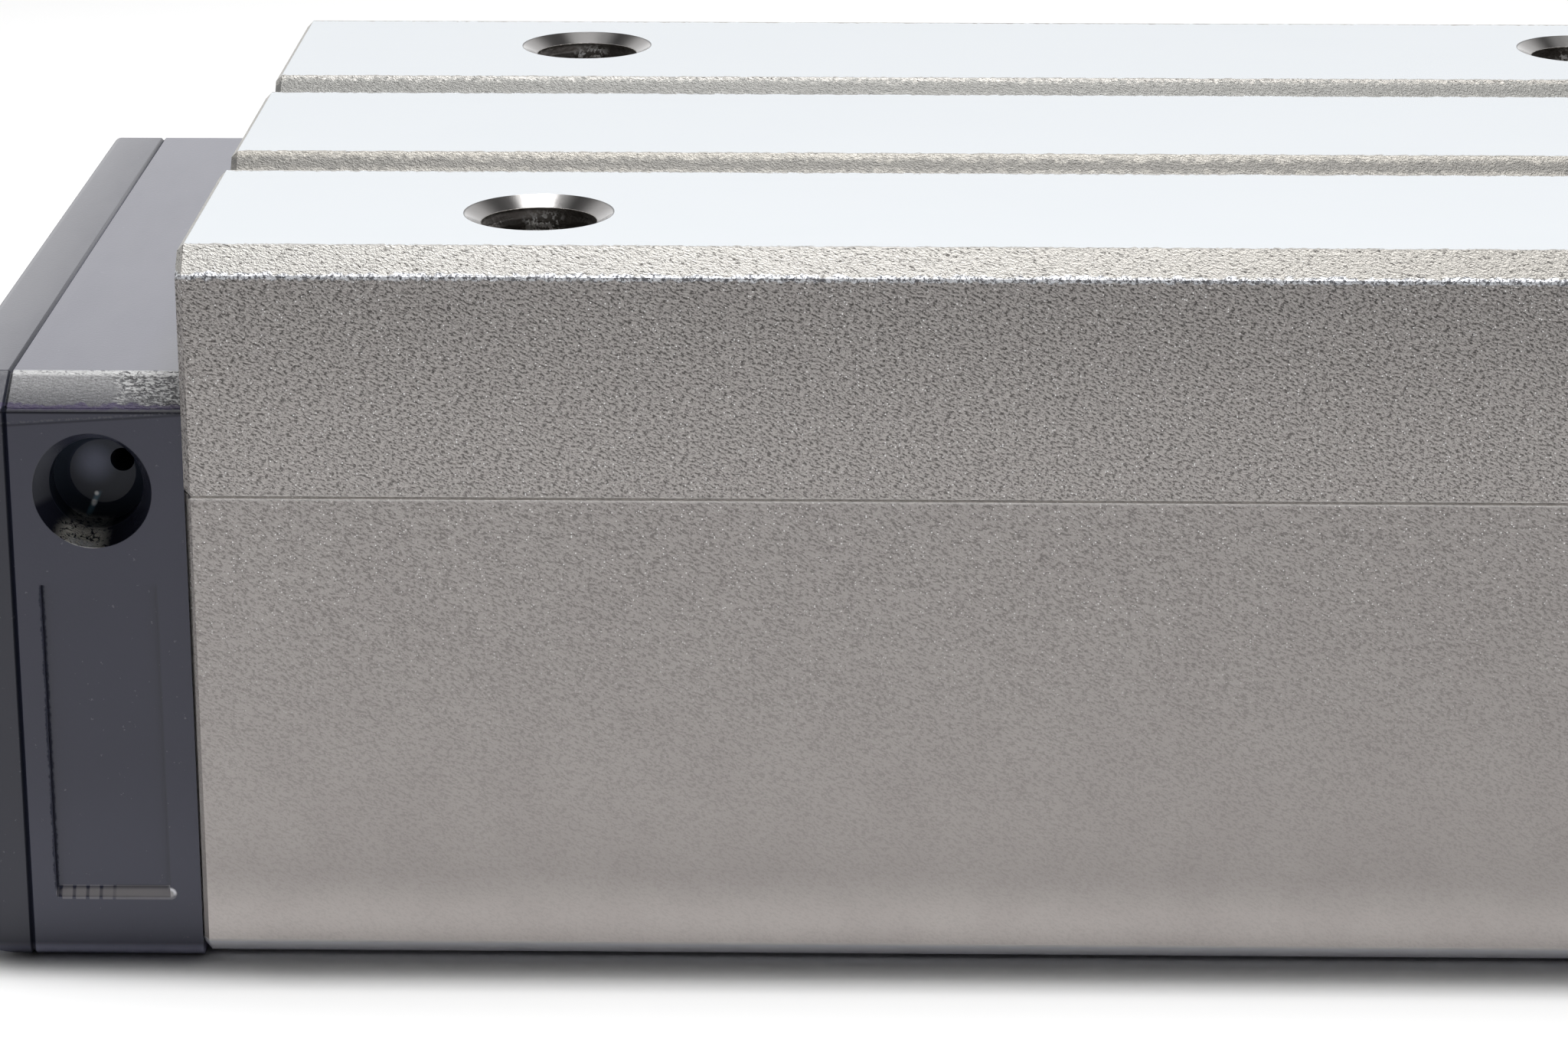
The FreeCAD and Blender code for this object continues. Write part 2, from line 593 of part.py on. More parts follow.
def retainer_top():
    """Plate under the channel's ceiling that hooks round the inner side of both upper rows."""
    ceiling = CHANNEL_HEIGHT - TOP_RETAINER_GAP
    outer_y = CHANNEL_HALF_WIDTH - CHANNEL_CORNER - TOP_RETAINER_GAP
    plate_bottom = ceiling - TOP_RETAINER_THICKNESS
    tip_z = UPPER_ROW_Z + RETAINER_TIP_REACH
    plate = prism(mirrored([
        (outer_y, ceiling),
        (outer_y, tip_z),
        (RETAINER_TIP_Y, tip_z),
        (RETAINER_TIP_Y, plate_bottom),
    ]), -HALF_LENGTH, HALF_LENGTH)
    rows = [rod(RETAINER_RADIUS, -HALF_LENGTH, HALF_LENGTH, side * LOAD_ROW_Y, UPPER_ROW_Z)
            for side in SIDES.values()]
    return plate.cut(rows)


def retainer_middle(side):
    """Bar in the channel wall that keeps an upper row from dropping and a lower row from rising."""
    middle = (UPPER_ROW_Z + LOWER_ROW_Z) / 2
    bar = box(-HALF_LENGTH, HALF_LENGTH, CHANNEL_HALF_WIDTH, CHANNEL_HALF_WIDTH + MIDDLE_RETAINER_DEPTH,
              middle - MIDDLE_RETAINER_HALF_HEIGHT, middle + MIDDLE_RETAINER_HALF_HEIGHT)
    rows = [rod(RETAINER_RADIUS, -HALF_LENGTH, HALF_LENGTH, LOAD_ROW_Y, row_z)
            for row_z, angle in TRACKS.values()]
    return to_side(bar.cut(rows), side)


def retainer_bottom(side):
    """Strip inside a leg that hooks round the inner side of a lower row."""
    outer_y = CHANNEL_HALF_WIDTH - RETAINER_WALL_GAP
    strip = box(-HALF_LENGTH, HALF_LENGTH, RETAINER_TIP_Y, outer_y,
                LOWER_ROW_Z - BOTTOM_RETAINER_BELOW_ROW, LOWER_ROW_Z - RETAINER_TIP_REACH)
    row = rod(RETAINER_RADIUS, -HALF_LENGTH, HALF_LENGTH, LOAD_ROW_Y, LOWER_ROW_Z)
    return to_side(strip.cut(row), side)


def bottom_seal(side):
    """Strip under a leg, with a tapered lip towards the rail."""
    strip = prism([
        (BOTTOM_SEAL_INNER_Y, BOTTOM_SEAL_THICKNESS),
        (BOTTOM_SEAL_OUTER_Y, BOTTOM_SEAL_THICKNESS),
        (BOTTOM_SEAL_OUTER_Y, 0.0),
        (BOTTOM_SEAL_INNER_Y + BOTTOM_SEAL_LIP_TAPER, 0.0),
        (BOTTOM_SEAL_INNER_Y, BOTTOM_SEAL_LIP_TAPER),
    ], -HALF_LENGTH, HALF_LENGTH)
    return to_side(strip, side)


def ball(x, y, z):
    """One steel ball."""
    return Part.makeSphere(BALL_RADIUS, Vector(x, y, z))


def ball_row(side, y, z):
    """Straight row of balls through the body."""
    start = -HALF_LENGTH + BALL_PITCH / 2
    balls = [ball(start + number * BALL_PITCH, side * y, z) for number in range(BALLS_IN_ROW)]
    return Part.makeCompound(balls)


def ball_turn(end, side, row_z, angle):
    """Balls in the turnaround of one track at one end."""
    direction = turn_direction(angle)
    centre = turn_centre(row_z, angle)
    balls = []
    for number in range(BALLS_IN_TURN):
        turned = math.pi * (number + 0.5) / BALLS_IN_TURN
        place = centre - direction * (TURN_RADIUS * math.cos(turned))
        balls.append(ball(end * (place.x + TURN_RADIUS * math.sin(turned)), side * place.y, place.z))
    return Part.makeCompound(balls)


def build():
    """All pieces by name, in the block's own frame."""
    pieces = {"carriage_body": carriage_body(), "ball_retainer_top": retainer_top()}
    for end_name, end in ENDS.items():
        pieces["end_cap_" + end_name] = end_cap(end)
        pieces["seal_cover_" + end_name] = seal_cover(end)
        pieces["end_seal_" + end_name] = end_seal(end)
        pieces["cap_screws_" + end_name] = cap_screws(end)
        pieces["grease_plug_" + end_name] = grease_plug(end)
        for side_name, side in SIDES.items():
            pieces["return_guide_%s_%s" % (end_name, side_name)] = return_guide(end, side)
    for side_name, side in SIDES.items():
        pieces["ball_retainer_middle_" + side_name] = retainer_middle(side)
        pieces["ball_retainer_bottom_" + side_name] = retainer_bottom(side)
        pieces["bottom_seal_" + side_name] = bottom_seal(side)
        for track_name, (row_z, angle) in TRACKS.items():
            track = "%s_%s" % (track_name, side_name)
            return_y, return_z = return_place(row_z, angle)
            pieces["load_balls_" + track] = ball_row(side, LOAD_ROW_Y, row_z)
            pieces["return_balls_" + track] = ball_row(side, return_y, return_z)
            for end_name, end in ENDS.items():
                pieces["turn_balls_%s_%s" % (track, end_name)] = ball_turn(end, side, row_z, angle)
    return {name: lift(shape) for name, shape in pieces.items()}


os.makedirs("parts", exist_ok=True)
for piece_name, piece_shape in build().items():
    piece_shape.exportStep("parts/" + piece_name + ".step")
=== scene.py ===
"""Looks of the guide block: surface finishes, threads, light, floor and camera.

All lengths are metres unless a name ends in _mm.  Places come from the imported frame.
Inside the materials every length is in millimetres, and colours are (red, green, blue).
"""

import bmesh
import bpy
import json
import math
from mathutils import Matrix, Vector


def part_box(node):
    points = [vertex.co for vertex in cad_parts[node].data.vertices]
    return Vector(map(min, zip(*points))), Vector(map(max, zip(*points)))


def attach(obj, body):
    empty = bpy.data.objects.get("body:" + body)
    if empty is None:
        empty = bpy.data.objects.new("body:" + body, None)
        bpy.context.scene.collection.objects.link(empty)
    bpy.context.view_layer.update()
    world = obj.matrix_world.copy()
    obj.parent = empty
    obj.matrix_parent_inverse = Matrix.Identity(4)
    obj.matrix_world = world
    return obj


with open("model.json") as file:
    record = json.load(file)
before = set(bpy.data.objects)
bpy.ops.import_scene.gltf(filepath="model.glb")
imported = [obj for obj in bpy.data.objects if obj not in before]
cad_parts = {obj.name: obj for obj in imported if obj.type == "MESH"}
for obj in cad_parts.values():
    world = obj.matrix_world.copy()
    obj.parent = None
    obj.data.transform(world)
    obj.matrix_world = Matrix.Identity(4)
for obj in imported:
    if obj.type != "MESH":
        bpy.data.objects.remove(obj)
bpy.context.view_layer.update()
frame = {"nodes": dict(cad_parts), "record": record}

MM = 0.001
WHITE = (1.0, 1.0, 1.0)

# Camera, fitted to the edges and holes of the block in the photo
CAMERA_PLACE_MM = (-16.0, -295.0, 113.5)
CAMERA_PITCH = 17.95
CAMERA_YAW = -1.02
FOCAL_LENGTH_MM = 102.95
SENSOR_WIDTH_MM = 36.0
CLIP_START = 0.01
CLIP_END = 10.0

# Lamps straight overhead, one inside another: (name, width, middle in Y, radiance)
OVERHEAD_HEIGHT = 0.5
OVERHEAD_LENGTH = 0.26
OVERHEAD_MIDDLE_X = 0.008
OVERHEAD_LAMPS = (
    ("overhead_outer", 0.162, 0.0440, 5.6),
    ("overhead_spread", 0.097, 0.0115, 5.2),
    ("overhead_wide", 0.056, -0.0080, 16.5),
    ("overhead_inner", 0.039, -0.0055, 18.0),
    ("overhead_core", 0.028, -0.0020, 36.0),
)

# Studio round the block
ROOM_BRIGHTNESS = 0.03
BACKDROP_BRIGHTNESS = 1.75
CEILING_SHARE = 0.15
FLOOR_HALF_SIZE = 3.0

# Steel body
body_low, body_high = (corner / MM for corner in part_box("carriage_body"))
TOP_MM = body_high.z
HALF_WIDTH_MM = body_high.y
HALF_LENGTH_MM = body_high.x
TOP_BEVEL_MM = 1.55
BEVEL_FOOT_MM = TOP_MM - TOP_BEVEL_MM
FOOT_BEVEL_TOP_MM = 1.45
SIDE_LINE_MM = 30.7
GROOVE_INNER_MM = 8.95
GROOVE_OUTER_MM = 14.25
GROOVE_DEPTH_MM = 1.1
GRAIN_SLANT = 28.0
GRAIN_HEIGHT_MM = 0.08

# Tapped holes of the top
HOLE_X_MM = 36.0
HOLE_Y_MM = 25.0
HOLE_WALL_MM = 3.6
HOLE_MOUTH_MM = 4.68
HOLE_MOUTH_DEPTH_MM = 0.62
THREAD_PITCH_MM = 1.25
THREAD_DEPTH_MM = 0.3
THREAD_ROOT_MM = 0.02
THREAD_FOOT_SHARE = 0.45
THREAD_CREST_SHARE = 0.08
THREAD_TURNS = 8
THREAD_STEPS = 48

# End caps and the covers over them
cap_low, cap_high = (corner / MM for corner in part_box("end_cap_left"))
CAP_TOP_MM = cap_high.z
CAP_FOOT_MM = cap_low.z
CAP_HALF_WIDTH_MM = cap_high.y
SEAM_MM = -cap_low.x
COVER_OUTER_MM = -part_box("seal_cover_left")[0].x / MM
CAP_BEVEL_RUN_MM = 3.1
CAP_BEVEL_DROP_MM = 1.75
CAP_BEVEL_MARK_MM = CAP_TOP_MM - CAP_BEVEL_DROP_MM + 0.12
SCUFF_SLANT = 24.0
HATCH_SLANT = 70.0
SCUFF_HEIGHT_MM = 0.12
CAP_INDEX = 1.5

# Grease ports in the caps' sides
PORT_X_MM = HALF_LENGTH_MM + 5.65
PORT_Z_MM = 30.9
PORT_MOUTH_MM = 3.65
PORT_RING_MM = CAP_HALF_WIDTH_MM - 1.6
PORT_FLOOR_MM = CAP_HALF_WIDTH_MM - 4.2

# Panels in the caps' sides
PANEL_NEAR_X_MM = HALF_LENGTH_MM + 1.95
PANEL_FAR_X_MM = HALF_LENGTH_MM + 9.1
PANEL_BOTTOM_MM = 4.7
PANEL_TOP_MM = 24.8
PANEL_LIP_MM = 0.7
LIP_END_MM = PANEL_FAR_X_MM - 0.35
LIP_GAP_RATE = 7.4


def put(tree, socket, value):
    """Set an input to a plain value, or link another node's output to it."""
    if isinstance(value, bpy.types.NodeSocket):
        tree.links.new(value, socket)
    else:
        socket.default_value = value


def node(tree, kind, inputs=None, **settings):
    """Add a node with its settings and inputs."""
    made = tree.nodes.new("ShaderNode" + kind)
    for name, value in settings.items():
        setattr(made, name, value)
    for name, value in (inputs or {}).items():
        put(tree, made.inputs[name], value)
    return made


def calculate(tree, operation, *values):
    """One math step."""
    return node(tree, "Math", dict(enumerate(values)), operation=operation).outputs[0]


def add(tree, first, second):
    """Sum of two values."""
    return calculate(tree, "ADD", first, second)


def minus(tree, first, second):
    """First value less the second."""
    return calculate(tree, "SUBTRACT", first, second)


def larger(tree, first, second):
    """The larger one of two values."""
    return calculate(tree, "MAXIMUM", first, second)


def absolute(tree, value):
    """Value without its sign."""
    return calculate(tree, "ABSOLUTE", value)


def multiply(tree, *values):
    """Product of several values."""
    result = values[0]
    for value in values[1:]:
        result = calculate(tree, "MULTIPLY", result, value)
    return result


def length(tree, first, second):
    """Straight distance over two steps at right angles to each other."""
    squares = add(tree, multiply(tree, first, first), multiply(tree, second, second))
    return calculate(tree, "SQRT", squares)


def between(tree, value, start, end, low=0.0, high=1.0, kind="SMOOTHSTEP"):
    """Map start..end smoothly onto low..high, and hold the ends."""
    inputs = {"Value": value, "From Min": start, "From Max": end, "To Min": low, "To Max": high}
    return node(tree, "MapRange", inputs, interpolation_type=kind).outputs["Result"]


def between_straight(tree, value, start, end, low, high):
    """Map start..end in a straight line onto low..high, and hold the ends."""
    return between(tree, value, start, end, low, high, "LINEAR")


def band(tree, value, start, end, soft):
    """1 between start and end, falling off over the soft width on both sides."""
    rising = between(tree, value, start - soft, start + soft)
    falling = between(tree, value, end + soft, end - soft)
    return multiply(tree, rising, falling)


def spot(tree, first, second, radius):
    """1 where both distances are 0, falling off to 0 at the radius."""
    return between(tree, length(tree, first, second), radius, 0.2 * radius)


def blend_values(tree, factor, first, second):
    """First value where the factor is 0, second where it is 1."""
    made = node(tree, "Mix", data_type="FLOAT")
    put(tree, made.inputs[0], factor)
    put(tree, made.inputs[2], first)
    put(tree, made.inputs[3], second)
    return made.outputs[0]


def blend_colors(tree, factor, first, second):
    """First colour where the factor is 0, second where it is 1."""
    made = node(tree, "Mix", data_type="RGBA")
    put(tree, made.inputs[0], factor)
    for place, color in ((6, first), (7, second)):
        plain = not isinstance(color, bpy.types.NodeSocket)
        put(tree, made.inputs[place], (*color, 1) if plain else color)
    return made.outputs[2]


def tint(tree, color, mask, share, wanted):
    """Lay this share of the wanted colour over the marks of a mask."""
    return blend_colors(tree, multiply(tree, mask, share), color, wanted)


def scaled(tree, vector, factor):
    """Vector or colour times a factor."""
    return node(tree, "VectorMath", {0: vector, 3: factor}, operation="SCALE").outputs[0]


def stretched(tree, vector, factors):
    """Scale a vector by one factor on each axis."""
    return node(tree, "VectorMath", {0: vector, 1: factors}, operation="MULTIPLY").outputs[0]


def position_mm(tree):
    """Place on the surface in millimetres."""
    return scaled(tree, node(tree, "TexCoord").outputs["Object"], 1 / MM)


def axes(tree, vector):
    """X, Y and Z of a vector."""
    return node(tree, "SeparateXYZ", {0: vector}).outputs[:]


def slanted(tree, vector, degrees, along, across):
    """Coordinates whose first axis runs down to the right in the front view, with a scale on each axis."""
    cosine, sine = math.cos(math.radians(degrees)), math.sin(math.radians(degrees))
    first, second = (
        node(tree, "VectorMath", {0: vector, 1: axis}, operation="DOT_PRODUCT").outputs["Value"]
        for axis in ((cosine, 0, -sine), (sine, 0, cosine))
    )
    return node(tree, "CombineXYZ", {
        0: multiply(tree, first, along),
        1: multiply(tree, axes(tree, vector)[1], across),
        2: multiply(tree, second, across),
    }).outputs[0]


def noise(tree, vector, scale, detail=2.0, roughness=0.5, distortion=0.0):
    """Noise from 0 to 1, with its scale in waves per unit of the vector."""
    inputs = {"Vector": vector, "Scale": scale, "Detail": detail, "Roughness": roughness,
              "Distortion": distortion}
    return node(tree, "TexNoise", inputs).outputs["Fac"]


def speckles(tree, vector, scale, share):
    """1 in a random share of small cells and 0 between them."""
    cells = node(tree, "TexVoronoi", {"Vector": vector, "Scale": scale})
    chosen = node(tree, "SeparateColor", {0: cells.outputs["Color"]}).outputs[0]
    inside = between(tree, cells.outputs["Distance"], 0.5, 0.15)
    return multiply(tree, inside, between(tree, chosen, share, share * 0.9))


def bump(tree, height, height_mm):
    """Normal from a height from 0 to 1 that stands for this many millimetres."""
    return node(tree, "Bump", {"Height": height, "Distance": height_mm * MM}).outputs["Normal"]


def new_material(name, dress):
    """Material whose one shader gets the inputs that dress works out from the place on the surface."""
    material = bpy.data.materials.new(name)
    material.use_nodes = True
    tree = material.node_tree
    tree.nodes.clear()
    shader = node(tree, "BsdfPrincipled", dress(tree, position_mm(tree)))
    node(tree, "OutputMaterial", {"Surface": shader.outputs["BSDF"]})
    return material


def ground_land_mask(tree, across, up, ragged):
    """1 on the ground lands of the body's top, 0 on the bevels and in the grooves."""
    middle_land = minus(tree, GROOVE_INNER_MM, across)
    outer_land = calculate(tree, "MINIMUM", minus(tree, across, GROOVE_OUTER_MM),
                           minus(tree, HALF_WIDTH_MM - TOP_BEVEL_MM, across))
    inside = minus(tree, larger(tree, middle_land, outer_land), ragged)
    on_top = between(tree, up, TOP_MM - 0.06, TOP_MM - 0.02)
    return multiply(tree, on_top, between(tree, inside, 0.0, 0.06))


def groove_mask(tree, across, up, ragged):
    """1 in the two grooves along the top of the body."""
    floor = TOP_MM - GROOVE_DEPTH_MM
    return multiply(tree, band(tree, add(tree, across, ragged), GROOVE_INNER_MM, GROOVE_OUTER_MM, 0.1),
                    between(tree, up, floor - 0.3, floor))


def hole_masks(tree, along, across, up):
    """Masks for the tapped holes: the countersunk mouths, their left and right for painted shade, and the
    bores, with the first turn for painted light and the middle for painted glints.
    """
    sideways = minus(tree, along, HOLE_X_MM)
    from_middle = length(tree, sideways, minus(tree, across, HOLE_Y_MM))
    slant = calculate(tree, "DIVIDE", absolute(tree, sideways), from_middle)
    return {
        "hole": between(tree, from_middle, HOLE_MOUTH_MM + 0.02, HOLE_MOUTH_MM - 0.02),
        "hole_sides": between(tree, slant, 0.26, 0.52),
        "bore": multiply(tree, between(tree, from_middle, HOLE_WALL_MM + 0.03, HOLE_WALL_MM + 0.01),
                         between(tree, up, TOP_MM - 0.3, TOP_MM - 0.5)),
        "first_turn": multiply(tree, band(tree, up, TOP_MM - 1.25, TOP_MM - 0.8, 0.1),
                               between(tree, sideways, -1.0, 1.5)),
        "bore_middle": multiply(tree, band(tree, sideways, -1.1, 1.1, 0.5),
                                band(tree, up, TOP_MM - 3.2, TOP_MM - 0.9, 0.3)),
    }


def body_masks(tree, place, ragged):
    """Masks for the differently finished surfaces of the steel body."""
    along, across, up = axes(tree, place)
    wander = between(tree, noise(tree, place, 1.8, 2.0), 0.2, 0.8, -0.12, 0.12)
    over_foot = minus(tree, minus(tree, up, wander), BEVEL_FOOT_MM)
    return {
        "bevel": between(tree, over_foot, -0.05, 0.1),
        "bevel_edge": band(tree, over_foot, -0.22, 0.12, 0.06),
        "grooves": groove_mask(tree, absolute(tree, across), up, ragged),
        "far_half": between(tree, across, -2.0, 2.0),
        "ground": ground_land_mask(tree, absolute(tree, across), up, ragged),
        "foot": between(tree, up, FOOT_BEVEL_TOP_MM + 0.04, FOOT_BEVEL_TOP_MM - 0.02),
        **hole_masks(tree, absolute(tree, along), absolute(tree, across), up),
    }


def side_grain(tree, place):
    """Slanting grain of the blasted side, from 0 in its pits to 1."""
    streaks = noise(tree, slanted(tree, place, GRAIN_SLANT, 3.2, 7.4), 1.0, 3.0, 0.6, 0.15)
    return blend_values(tree, 0.38, streaks, noise(tree, place, 9.0, 3.0, 0.65))


def side_clearness(tree, up):
    """How clearly the grain shows: crisp above the line on the side, soft below it."""
    above_line = between(tree, up, SIDE_LINE_MM - 0.1, SIDE_LINE_MM + 0.1)
    return blend_values(tree, above_line, between_straight(tree, up, 4.0, SIDE_LINE_MM, 0.08, 0.5),
                        between_straight(tree, up, SIDE_LINE_MM, BEVEL_FOOT_MM, 0.76, 1.0))


def side_painted_light(tree, along, up):
    """Painted light and shade over the side's height and length: brighter toward the foot, darker toward the
    top and toward the right end; also a little brighter mid-height and along the line.
    """
    return multiply(
        tree,
        between(tree, up, 16.0, 30.0, 1.0, 1.02),
        between(tree, up, SIDE_LINE_MM - 0.2, SIDE_LINE_MM + 0.2, 1.0, 1.06),
        between(tree, up, 32.0, 47.0, 0.98, 0.79),
        between(tree, along, -20.0, 60.0, 1.0, 0.93),
        between(tree, up, FOOT_BEVEL_TOP_MM, 6.5, 1.65, 1.0),
    )


def side_color(tree, place, grain, clear):
    """Colour of the blasted side: dark pits, painted glints, the pale line along it, and painted light that
    lightens it toward the bottom.
    """
    along, _, up = axes(tree, place)
    # Painted light: the plain colour is lighter toward the bottom.
    plain = blend_colors(tree, between(tree, up, 2.0, 30.0), (0.400, 0.372, 0.358), (0.348, 0.326, 0.314))
    cloud = between(tree, noise(tree, place, 0.22, 4.0, 0.6), 0.3, 0.7)
    plain = tint(tree, plain, cloud, 0.16, (0.24, 0.21, 0.21))
    pits = between(tree, grain, 0.395, 0.545)
    pitted = blend_colors(tree, pits, (0.105, 0.098, 0.094), (0.50, 0.473, 0.457))
    color = scaled(tree, blend_colors(tree, clear, plain, pitted), side_painted_light(tree, along, up))
    # White speckles are painted glints.
    painted_glints = multiply(tree, speckles(tree, place, 8.0, 0.05), between(tree, up, 10.0, 34.0, 0.0, 0.9))
    color = blend_colors(tree, painted_glints, color, WHITE)
    line = band(tree, up, SIDE_LINE_MM - 0.2, SIDE_LINE_MM + 0.12, 0.12)
    return tint(tree, color, line, 0.45, (0.80, 0.78, 0.76))


def bevel_color(tree, place, height):
    """Cream colour of the blasted bevels with dark slanting streaks, darker toward the right as painted
    shade.
    """
    streaks = noise(tree, slanted(tree, place, GRAIN_SLANT, 1.3, 8.0), 1.0, 4.0, 0.65, 0.5)
    streaks = blend_values(tree, 0.25, streaks, height)
    # Painted shade: the cream grows darker toward the right end.
    painted_shade_rightward = between(tree, axes(tree, place)[0], -45.0, 45.0)
    cream = blend_colors(tree, painted_shade_rightward, (0.358, 0.348, 0.331), (0.302, 0.289, 0.268))
    return blend_colors(tree, between(tree, streaks, 0.385, 0.475), (0.075, 0.070, 0.066), cream)


def foot_painted_light(tree, up):
    """Painted light on the bevel at the foot of the body: pale bluish grey, darker downward."""
    upper = blend_colors(tree, between(tree, up, FOOT_BEVEL_TOP_MM - 0.3, FOOT_BEVEL_TOP_MM - 0.1),
                         (0.88, 0.88, 0.93), (0.97, 0.95, 0.94))
    return blend_colors(tree, between(tree, up, 0.3, 0.7), (0.90, 0.89, 0.97), upper)


def groove_color(tree, masks, up, ragged, color):
    """Lay the cream walls of the grooves over a colour, with painted shade inside them."""
    cream = blend_colors(tree, masks["far_half"], (0.297, 0.283, 0.257), (0.180, 0.180, 0.172))
    color = tint(tree, color, masks["grooves"], 0.75, cream)
    # Painted shade darkens the grooves below their rims, less in the far groove.
    deep = minus(tree, minus(tree, TOP_MM, up), ragged)
    painted_groove_shade = multiply(tree, between(tree, deep, -0.12, 0.34), between(tree, deep, 0.95, 0.55, 0.26, 0.64),
                    between(tree, masks["far_half"], 0.0, 1.0, 1.0, 0.5))
    return tint(tree, color, masks["grooves"], painted_groove_shade, (0.066, 0.066, 0.066))


def hole_color(tree, place, masks, color):
    """Lay the machined mouths and the oily threads of the tapped holes over a colour, with painted shade on
    the mouths' sides, painted light on the first turn and painted glints in the bores.
    """
    # Painted shade: the mouths are darker at their left and right.
    mouth_with_painted_shade = blend_colors(tree, masks["hole_sides"], (0.55, 0.535, 0.525), (0.15, 0.144, 0.141))
    color = blend_colors(tree, masks["hole"], color, mouth_with_painted_shade)
    smears = noise(tree, place, 1.6, 3.0, 0.7)
    oily = blend_colors(tree, smears, (0.10, 0.085, 0.07), (0.26, 0.25, 0.24))
    # Painted light on the first turn of the thread, on the outer side of each hole.
    oily = tint(tree, oily, masks["first_turn"], 0.8, (0.72, 0.68, 0.66))
    # White painted glints in the middle of the bores.
    painted_bore_glints = between(tree, noise(tree, place, 2.8, 3.0, 0.7), 0.48, 0.56)
    oily = tint(tree, oily, masks["bore_middle"], painted_bore_glints, WHITE)
    return blend_colors(tree, masks["bore"], color, oily)


def body_steel(tree, place):
    """Shot-blasted steel with a ground top, bright bevels and machined hole mouths; its colour also carries
    painted light, shade, highlights and glints.
    """
    up = axes(tree, place)[2]
    ragged = between(tree, noise(tree, place, 2.0, 4.0, 0.65), 0.3, 0.75, 0.0, 0.38)
    masks = body_masks(tree, place, ragged)
    grain = side_grain(tree, place)
    clear = side_clearness(tree, up)
    height = blend_values(tree, clear, 0.5, grain)

    color = blend_colors(tree, masks["bevel"], side_color(tree, place, grain, clear),
                         bevel_color(tree, place, height))
    # Painted highlight with dark flecks along the lower edge of the top bevels.
    painted_edge_glitter = between(tree, noise(tree, place, 5.5, 2.0, 0.7), 0.42, 0.56)
    painted_edge_glitter = blend_colors(tree, painted_edge_glitter, (0.10, 0.105, 0.12), (0.74, 0.76, 0.80))
    color = tint(tree, color, masks["bevel_edge"], 0.8, painted_edge_glitter)
    color = groove_color(tree, masks, up, ragged, color)
    cloud = noise(tree, place, 0.12, 3.0)
    bright = blend_colors(tree, cloud, (0.705, 0.730, 0.752), (0.725, 0.747, 0.767))
    color = blend_colors(tree, masks["ground"], color, bright)
    color = hole_color(tree, place, masks, color)
    # The foot bevel gets painted light and is not metallic.
    color = blend_colors(tree, masks["foot"], color, foot_painted_light(tree, up))

    rough = 0.5
    for name, value in (("ground", 0.22), ("hole", 0.17), ("bore", 0.42)):
        rough = blend_values(tree, masks[name], rough, value)
    grinding = noise(tree, stretched(tree, place, (0.04, 9.0, 1.0)), 1.0, 3.0, 0.6)
    height = blend_values(tree, masks["ground"], height, multiply(tree, grinding, 0.01))
    height = blend_values(tree, masks["hole"], height,
                          multiply(tree, masks["bore"], noise(tree, place, 2.5, 3.0, 0.6)))
    return {
        "Base Color": color,
        "Specular Tint": blend_colors(tree, masks["ground"], WHITE, (0.571, 0.579, 0.588)),
        "Metallic": blend_values(tree, masks["foot"], 1.0, 0.0),
        "Roughness": rough,
        "Normal": bump(tree, height, GRAIN_HEIGHT_MM),
    }


def cap_bevel_masks(tree, place, across, up):
    """Masks for the bevels along the tops of the end caps: bevel, rim of it, and shade under it."""
    wander = between(tree, noise(tree, place, 1.1, 3.0, 0.6), 0.25, 0.75, -0.12, 0.12)
    over_mark = minus(tree, up, CAP_BEVEL_MARK_MM)
    start = CAP_HALF_WIDTH_MM - CAP_BEVEL_RUN_MM
    outside = between(tree, across, start - 0.05, start + 0.1)
    return {
        "bevel": multiply(tree, outside, between(tree, over_mark, -0.02, 0.06)),
        "bevel_rim": multiply(tree, outside, band(tree, add(tree, over_mark, wander), -0.02, 0.20, 0.06)),
        "under_bevel": multiply(tree, outside, band(tree, over_mark, -0.26, -0.02, 0.05)),
    }


def mould_line_masks(tree, along, up):
    """Masks for the slanting mould line under the bevel and the crumbs on it."""
    line = between_straight(tree, along, HALF_LENGTH_MM, SEAM_MM, CAP_BEVEL_MARK_MM - 0.32,
                            CAP_BEVEL_MARK_MM - 1.02)
    over_line = minus(tree, up, line)
    return {
        "mould_line": band(tree, over_line, -0.07, 0.07, 0.05),
        "mould_crumbs": band(tree, over_line, 0.1, 0.22, 0.05),
    }


